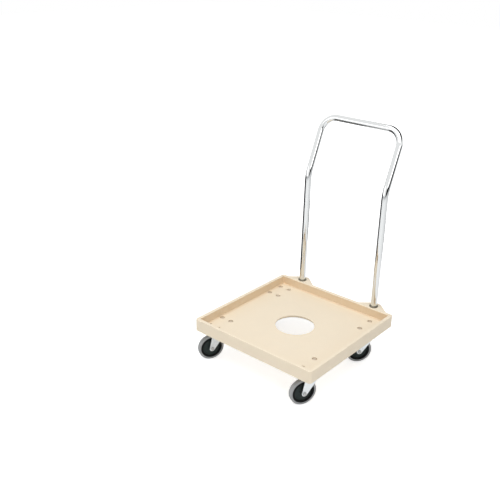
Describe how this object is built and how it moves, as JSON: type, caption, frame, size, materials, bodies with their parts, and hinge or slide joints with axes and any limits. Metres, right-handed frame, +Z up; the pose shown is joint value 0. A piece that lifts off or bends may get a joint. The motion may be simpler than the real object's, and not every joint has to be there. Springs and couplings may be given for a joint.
{
  "type": "dish rack dolly",
  "caption": "Square moulded plastic tray dolly with a raised rim, a round hole in its floor, swivel casters with grey rubber wheels, and a bent tube push handle at the back.",
  "frame": {"origin": "on the ground, under the middle of the bounding box of the whole dolly", "axes": "+Z is up. The front is -Y, and the push handle stands at the back, +Y. +X is the right side, seen from the front."},
  "size_m": [0.543, 0.6554, 0.8867],
  "materials": {
    "tray": "cream moulded plastic, lightly grained",
    "handle": "bright chrome plating",
    "steel": "plain turned steel",
    "zinc": "bright zinc plating",
    "wheel_core": "black moulded plastic with a faint sheen",
    "tread": "grey soft rubber"
  },
  "bodies": {
    "chassis": {"tray": "tray", "handle_tube": "handle", "handle_collar_left": "steel", "handle_collar_right": "steel", "handle_plugs": "steel", "handle_bolts": "zinc", "handle_washers": "zinc", "plate_bolts": "zinc", "plate_washers": "zinc", "plate_nuts": "zinc", "top_plate_front_left": "zinc", "kingpin_front_left": "zinc", "race_cup_front_left": "steel", "top_plate_front_right": "zinc", "kingpin_front_right": "zinc", "race_cup_front_right": "steel", "top_plate_back_left": "zinc", "kingpin_back_left": "zinc", "race_cup_back_left": "steel", "top_plate_back_right": "zinc", "kingpin_back_right": "zinc", "race_cup_back_right": "steel"},
    "swivel_front_left": {"fork_front_left": "zinc", "axle_bolt_front_left": "zinc", "axle_nut_front_left": "zinc", "axle_sleeve_front_left": "steel", "upper_balls_front_left": "steel", "lower_balls_front_left": "steel"},
    "wheel_front_left": {"wheel_core_front_left": "wheel_core", "tread_front_left": "tread"},
    "swivel_front_right": {"fork_front_right": "zinc", "axle_bolt_front_right": "zinc", "axle_nut_front_right": "zinc", "axle_sleeve_front_right": "steel", "upper_balls_front_right": "steel", "lower_balls_front_right": "steel"},
    "wheel_front_right": {"wheel_core_front_right": "wheel_core", "tread_front_right": "tread"},
    "swivel_back_left": {"fork_back_left": "zinc", "axle_bolt_back_left": "zinc", "axle_nut_back_left": "zinc", "axle_sleeve_back_left": "steel", "upper_balls_back_left": "steel", "lower_balls_back_left": "steel"},
    "wheel_back_left": {"wheel_core_back_left": "wheel_core", "tread_back_left": "tread"},
    "swivel_back_right": {"fork_back_right": "zinc", "axle_bolt_back_right": "zinc", "axle_nut_back_right": "zinc", "axle_sleeve_back_right": "steel", "upper_balls_back_right": "steel", "lower_balls_back_right": "steel"},
    "wheel_back_right": {"wheel_core_back_right": "wheel_core", "tread_back_right": "tread"}
  },
  "joints": [
    {"name": "swivel_front_left", "type": "hinge", "parent": "chassis", "child": "swivel_front_left", "pos_m": [-0.222, -0.2402, 0.128], "axis": [0, 0, 1], "continuous": true},
    {"name": "wheel_front_left", "type": "hinge", "parent": "swivel_front_left", "child": "wheel_front_left", "pos_m": [-0.23925, -0.27406, 0.0508], "axis": [0.891, -0.454, 0], "continuous": true},
    {"name": "swivel_front_right", "type": "hinge", "parent": "chassis", "child": "swivel_front_right", "pos_m": [0.222, -0.2402, 0.128], "axis": [0, 0, 1], "continuous": true},
    {"name": "wheel_front_right", "type": "hinge", "parent": "swivel_front_right", "child": "wheel_front_right", "pos_m": [0.20475, -0.27406, 0.0508], "axis": [0.891, -0.454, 0], "continuous": true},
    {"name": "swivel_back_left", "type": "hinge", "parent": "chassis", "child": "swivel_back_left", "pos_m": [-0.222, 0.1278, 0.128], "axis": [0, 0, 1], "continuous": true},
    {"name": "wheel_back_left", "type": "hinge", "parent": "swivel_back_left", "child": "wheel_back_left", "pos_m": [-0.23624, 0.09257, 0.0508], "axis": [0.9272, -0.3746, 0], "continuous": true},
    {"name": "swivel_back_right", "type": "hinge", "parent": "chassis", "child": "swivel_back_right", "pos_m": [0.222, 0.1278, 0.128], "axis": [0, 0, 1], "continuous": true},
    {"name": "wheel_back_right", "type": "hinge", "parent": "swivel_back_right", "child": "wheel_back_right", "pos_m": [0.19757, 0.09869, 0.0508], "axis": [0.766, -0.6428, 0], "continuous": true}
  ]
}
